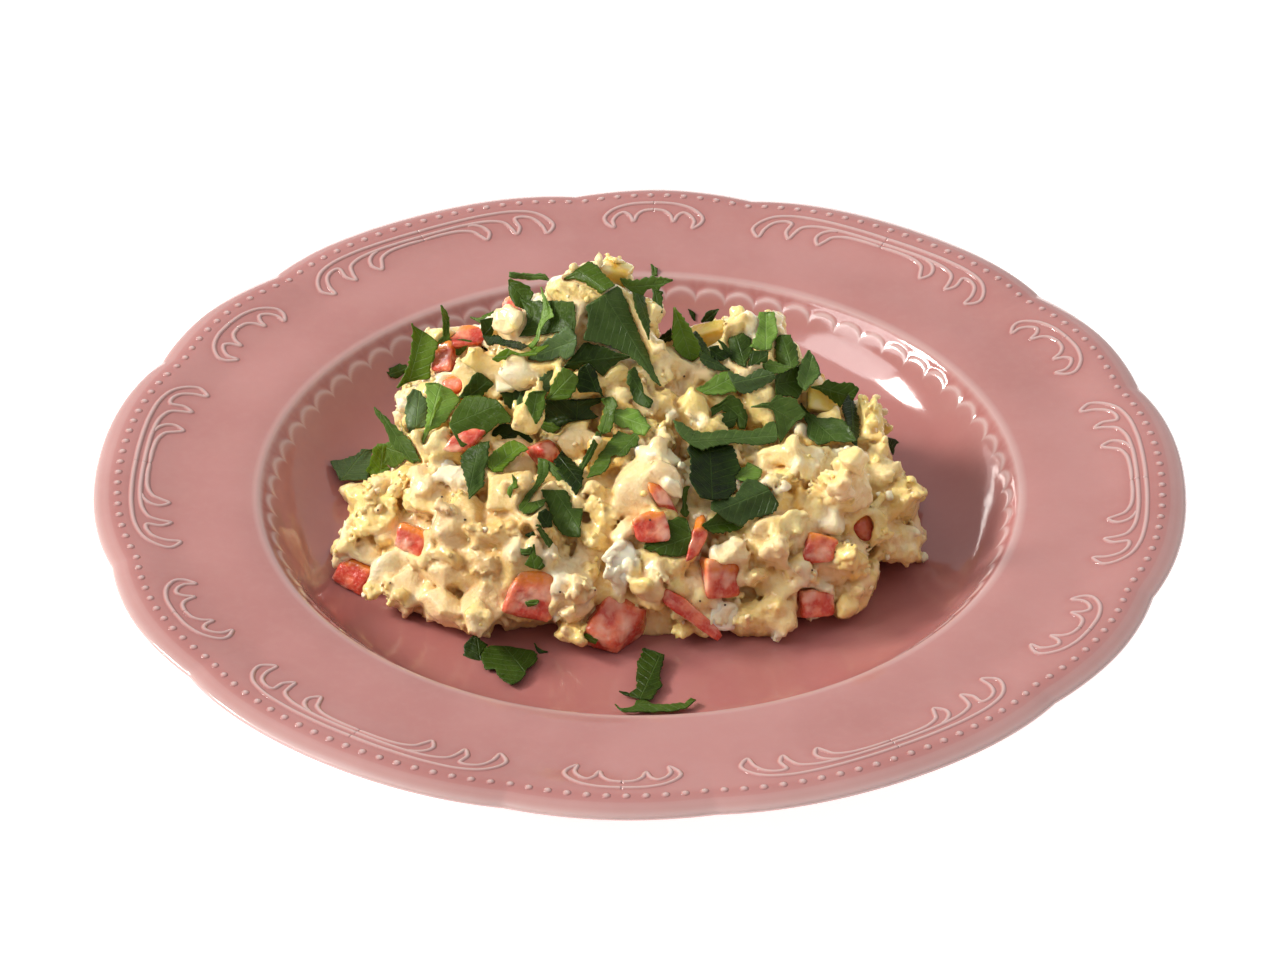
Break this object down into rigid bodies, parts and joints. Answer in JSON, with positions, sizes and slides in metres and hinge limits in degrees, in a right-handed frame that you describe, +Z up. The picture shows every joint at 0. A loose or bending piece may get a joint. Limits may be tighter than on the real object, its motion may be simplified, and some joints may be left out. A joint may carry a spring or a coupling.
{
  "type": "plated salad",
  "caption": "Chicken and cheese salad heaped in the well of a dinner plate with a scalloped rim, topped with chopped parsley.",
  "frame": {"origin": "middle of the plate's foot, on the plane it stands on", "axes": "+Z up, the heap's lower front faces -Y and its tallest part is toward -X and +Y"},
  "size_m": [0.2716, 0.2704, 0.0738],
  "materials": {
    "plate": "glossy dusty pink glaze, paler on raised edges",
    "salad": "moist creamy food",
    "parsley": "semi-gloss leaf"
  },
  "bodies": {
    "root": {"plate": "plate", "salad_heap": "salad", "parsley_01": "parsley", "parsley_02": "parsley", "parsley_03": "parsley", "parsley_04": "parsley", "parsley_05": "parsley", "parsley_06": "parsley", "parsley_07": "parsley", "parsley_08": "parsley", "parsley_09": "parsley", "parsley_10": "parsley", "parsley_11": "parsley", "parsley_12": "parsley", "parsley_13": "parsley", "parsley_14": "parsley", "parsley_15": "parsley", "parsley_16": "parsley", "parsley_17": "parsley", "parsley_18": "parsley", "parsley_19": "parsley", "parsley_20": "parsley", "parsley_21": "parsley", "parsley_22": "parsley", "parsley_23": "parsley", "parsley_24": "parsley", "parsley_25": "parsley", "parsley_26": "parsley", "parsley_27": "parsley", "parsley_28": "parsley", "parsley_29": "parsley", "parsley_30": "parsley", "parsley_31": "parsley", "parsley_32": "parsley", "parsley_33": "parsley", "parsley_34": "parsley", "parsley_35": "parsley", "parsley_36": "parsley", "parsley_37": "parsley", "parsley_38": "parsley", "parsley_39": "parsley", "parsley_40": "parsley", "parsley_41": "parsley", "parsley_42": "parsley", "parsley_43": "parsley", "parsley_44": "parsley", "parsley_45": "parsley", "parsley_46": "parsley", "parsley_47": "parsley", "parsley_48": "parsley", "parsley_49": "parsley", "parsley_50": "parsley", "parsley_51": "parsley", "parsley_52": "parsley", "parsley_53": "parsley", "parsley_54": "parsley", "parsley_55": "parsley", "parsley_56": "parsley", "parsley_57": "parsley", "parsley_58": "parsley"}
  },
  "joints": []
}
